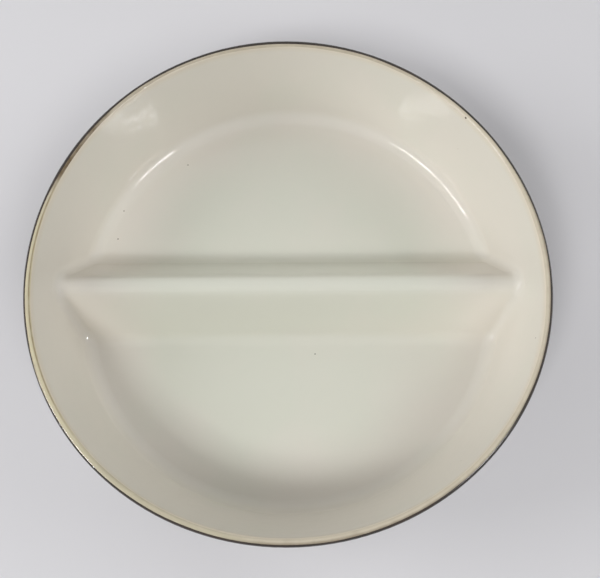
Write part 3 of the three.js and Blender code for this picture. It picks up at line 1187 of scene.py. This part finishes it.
@dataclass
class GlazeCoats(Member):
    """The fired coats: cream inside, a thin tan band on the rim, dark brown outside and under the base."""

    roll_steps: int = 10
    lip_border: Wander = Wander(0.15 * MM, (3, 5, 8, 13, 21), 11)
    dark_border: Wander = Wander(0.08 * MM, (7, 12, 19, 31), 5)
    # The wiped edges beside the foot ring, outside it and inside it
    heel_border: Wander = Wander(0.5 * MM, (3, 7, 12, 19, 31), 23)
    base_border: Wander = Wander(0.45 * MM, (2, 5, 11, 17, 29), 31)
    # How far the outer glaze ends outside the foot ring
    heel_gap: float = 1.4 * MM
    # How far the core's lining stays inside the wiped edge of the base's glaze
    lining_gap: float = 1.5 * MM
    # Radius at which the dark glaze begins at every 30 degrees round the rim, from +X
    dark_edge: tuple[float, ...] = (
        138.40 * MM, 138.05 * MM, 137.50 * MM, 137.20 * MM, 137.60 * MM, 137.60 * MM,
        138.30 * MM, 138.80 * MM, 138.60 * MM, 138.75 * MM, 138.50 * MM, 138.20 * MM,
    )
    # Two painted highlights in the dark rim line: direction and half-width in degrees, and how far the dark
    # glaze stays back there so that the tan band shows as a light gap
    painted_glint_gaps: tuple[tuple[float, float, float], ...] = (
        (-156.0, 6.0, 0.45 * MM),
        (5.0, 5.0, 0.35 * MM),
    )

    def lip_line(self) -> Floats:
        """Radius round the rim at which the cream glaze thins into the tan band."""
        return self.form.lip_edge + self.lip_border.line()

    def band_line(self) -> Floats:
        """Draws the line round the rim at which the tan band meets the dark glaze.

        The dip ran further over the rim at the back than at the front. On two short stretches, at the left
        and at the right, the dark glaze is held back so that the tan band paints a highlight into the dark
        line.

        Returns:
            One radius for each place round the rim.
        """
        angles = ring_angles()
        line = np.interp(np.degrees(angles) % 360, range(0, 360, 30), self.dark_edge, period=360)
        # Each painted highlight holds the dark glaze back, so that the lighter tan band shows there.
        for middle, width, outward in self.painted_glint_gaps:
            away = np.angle(np.exp(1j * (angles - math.radians(middle))))
            line += outward * np.exp(-((away / math.radians(width)) ** 2))
        return line + self.dark_border.line()

    def liner(self) -> Object:
        """Coats both compartments and the divider with the cream glaze, up to the rim's inner lip.

        Returns:
            The coat in its true form.
        """
        form = self.form
        draft = Draft()
        lip = form.roll_angle(self.lip_line())
        skins = []
        for inset in (0.0, form.glaze):
            inside = Inside(form, inset)
            inside.add_to(draft)
            roll = form.roll(np.full_like(lip, np.pi - form.inner_lean), lip, inset, self.roll_steps)
            wall = np.repeat(inside.wall(self.wall_steps)[:, None], len(lip), axis=1)
            skins.append(np.concatenate([wall, roll]))
        draft.add_rows(turned(np.concatenate([skins[0], skins[1][::-1]])))
        return draft.to_object("liner_glaze_coat")

    def band(self) -> Object:
        """Coats the top of the rim's roll with the thin tan glaze.

        Returns:
            The coat in its true form.
        """
        form = self.form
        inner, outer = form.roll_angle(self.lip_line()), form.roll_angle(self.band_line())
        face = form.roll(inner, outer, 0.0, self.roll_steps)
        back = form.roll(outer, inner, form.glaze, self.roll_steps)
        return turned_solid(np.concatenate([face, back, face[:1]]), "rim_band_coat")

    def outer(self) -> Object:
        """Coats the outside of the wall and the heel with the dark glaze, wiped off beside the foot.

        Returns:
            The coat in its true form.
        """
        form = self.form
        edge = form.roll_angle(self.band_line())
        skins = []
        for inset in (0.0, form.glaze):
            roll = form.roll(edge, np.full_like(edge, -form.outer_lean), inset, self.roll_steps)
            wall = form.outer_profile(inset, self.wall_steps, form.foot_outer_radius + self.heel_gap)
            wall = np.repeat(wall[:, None], len(edge), axis=1)
            wall[-1, :, 0] += self.heel_border.line()
            skins.append(np.concatenate([roll, wall]))
        return turned_solid(np.concatenate([skins[0], skins[1][::-1], skins[0][:1]]), "outer_glaze_coat")

    def base(self) -> Object:
        """Coats the base inside the foot ring with the island of dark glaze, and lines the divider's core.

        Returns:
            The coat in its true form.
        """
        form = self.form
        radius = form.foot_outer_radius - form.foot_width - form.seat
        low, high = form.recess_height, form.recess_height + form.glaze
        half, reach = radius / 2, radius - self.lining_gap
        profile = np.array([[0, low], [half, low], [radius, low], [radius, high], [half, high], [0, high]])
        rows = np.repeat(profile[:, None], len(ring_angles()), axis=1)
        # The third and fourth rows are its wiped edge.
        rows[2:4, :, 0] += self.base_border.line() - self.base_border.size
        base = turned_solid(rows, "base_glaze_coat")
        ceiling = np.array([[0, low], [reach, low], [reach, form.height], [0, form.height]])
        over_base = turned_solid(ceiling, "over_base")
        lining = combined(self.core.solid(form.glaze, "lining"), over_base, Cut.SHARED)
        combined(base, lining, Cut.JOINED)
        return combined(base, self.core.solid(0.0, "core"), Cut.AWAY)

    def build(self, cream: Material, tan: Material, brown: Material) -> None:
        """Builds and dresses the four coats.

        Args:
            cream: Material of the glaze inside.
            tan: Material of the band on the rim.
            brown: Material of the glaze outside and under the base.
        """
        self.finished(self.liner(), "liner_glaze", "cream_glaze", cream)
        self.finished(self.band(), "rim_band", "thin_tan_glaze", tan)
        self.finished(self.outer(), "outer_glaze", "dark_brown_glaze", brown)
        self.finished(self.base(), "base_glaze", "dark_brown_glaze", brown)


class LampUse(Enum):
    """What a lamp is for."""

    LIGHT = "lights the bowl, and isn't seen in the glaze"
    GLINT = "is seen in the glaze, and lights nothing"


@dataclass(frozen=True)
class Lamp:
    """A rectangular lamp."""

    name: str
    azimuth: float
    elevation: float
    size: tuple[float, float]
    watts: float
    use: LampUse = LampUse.LIGHT
    roll: float = 0.0
    distance: float = 1.6

    def hang(self, aim: Vector) -> None:
        """Hangs the lamp and turns it to what it lights.

        Args:
            aim: The point that it faces.
        """
        light = bpy.data.lights.new(self.name, "AREA")
        light.shape = "RECTANGLE"
        light.size, light.size_y = self.size
        light.energy = self.watts
        lamp = placed(self.name, light)
        lamp.visible_glossy = self.use is LampUse.GLINT
        lamp.visible_diffuse = self.use is LampUse.LIGHT
        turn, rise = math.radians(self.azimuth), math.radians(self.elevation)
        away = Vector((math.sin(turn) * math.cos(rise), -math.cos(turn) * math.cos(rise), math.sin(rise)))
        lamp.location = aim + away * self.distance
        rolled = Quaternion((0, 0, 1), math.radians(self.roll))
        lamp.rotation_euler = ((-away).to_track_quat("-Z", "Y") @ rolled).to_euler()


@dataclass(frozen=True)
class Studio:
    """Pale paper floor, soft lamps, a plain sky and the camera."""

    paper: Material
    floor_size: float = 5.0
    sky: str = "#ffffff"
    light_level: float = 0.02
    backdrop_level: float = 0.8
    camera_place: tuple[float, float, float] = (0.00878, -0.12211, 0.44772)
    camera_turn: tuple[float, float, float] = (16.42, 0.35, -0.22)
    lens: float = 45.0
    sensor: float = 36.0
    # Nothing nearer to the camera than this is drawn.
    nearest: float = 0.01
    aim: tuple[float, float, float] = (0.0, 0.0, 0.04)
    # Azimuth 0 is in front of the bowl and 90 on its right. The tubes draw the thin lines on the glaze.
    lamps: tuple[Lamp, ...] = (
        Lamp("left_box", -90.0, 28.0, (0.8, 0.8), 10.9),
        Lamp("right_box", 90.0, 28.0, (0.8, 0.8), 4.9),
        Lamp("right_rear_box", 120.0, 28.0, (0.8, 0.8), 6.2),
        Lamp("left_rear_box", -150.0, 28.0, (0.8, 0.8), 2.2),
        Lamp("left_low", -60.0, 15.0, (0.6, 0.3), 2.4),
        Lamp("left_rear_low", -140.0, 15.0, (0.6, 0.3), 2.2),
        Lamp("left_key", -30.0, 52.0, (0.4, 0.4), 8.8),
        Lamp("right_key", 30.0, 52.0, (0.5, 0.5), 4.9),
        Lamp("left_tube", -64.0, 35.4, (0.92, 0.04), 8.5, LampUse.GLINT, 10.0),
        Lamp("right_tube", 57.5, 33.8, (0.46, 0.04), 4.7, LampUse.GLINT),
    )

    def set_up(self) -> None:
        """Builds the whole set."""
        self.lay_floor()
        self.light_sky()
        self.aim_camera()
        for lamp in self.lamps:
            lamp.hang(Vector(self.aim))

    def lay_floor(self) -> None:
        """Lays the paper level with the foot."""
        half = self.floor_size / 2
        corners = [(half * u, half * v, 0) for u, v in SQUARE]
        mesh = bpy.data.meshes.new("floor")
        mesh.from_pydata(corners, [], [(0, 1, 2, 3)])
        mesh.materials.append(self.paper)
        floor = placed("floor", mesh)

    def light_sky(self) -> None:
        """Makes the plain sky, pale to the camera and in the glaze, and a soft light to everything else."""
        world = bpy.data.worlds.new("sky")
        bpy.context.scene.world = world
        world.use_nodes = True
        tree = world.node_tree
        tree.nodes.clear()
        rays = add_node(tree, "LightPath").outputs
        seen = rays["Is Camera Ray"]
        for kind in ("Is Glossy Ray", "Is Transmission Ray"):
            seen = add_node(tree, "Math", {"operation": "MAXIMUM"}, {0: seen, 1: rays[kind]})
        levels = {"To Min": self.light_level, "To Max": self.backdrop_level}
        level = add_node(tree, "MapRange", levels, {0: seen})
        sky = add_node(tree, "Background", {"Color": linear(self.sky)}, {"Strength": level})
        add_node(tree, "OutputWorld", links={"Surface": sky})

    def aim_camera(self) -> None:
        """Places the camera above and in front of the bowl, looking down into it."""
        data = bpy.data.cameras.new("camera")
        data.lens = self.lens
        data.sensor_width = self.sensor
        data.clip_start = self.nearest
        camera = placed("camera", data)
        camera.location = self.camera_place
        camera.rotation_euler = Euler([math.radians(turn) for turn in self.camera_turn])
        bpy.context.scene.camera = camera


def main() -> None:
    """Builds the bowl, its finishes and the studio."""
    logging.basicConfig(level=logging.INFO, format="%(name)s: %(message)s")
    bpy.context.scene.view_settings.view_transform = "Standard"
    form = Form.from_frame()
    kiln = KilnWarp(form)
    core = DividerCore(form)
    ClayBody(form, kiln, core).build(StonewareClay().material())
    coats = (CreamGlaze(), ThinTanGlaze(), DarkBrownGlaze())
    GlazeCoats(form, kiln, core).build(*[coat.material() for coat in coats])
    Studio(StudioPaper().material()).set_up()


if __name__ == "__main__":
    main()
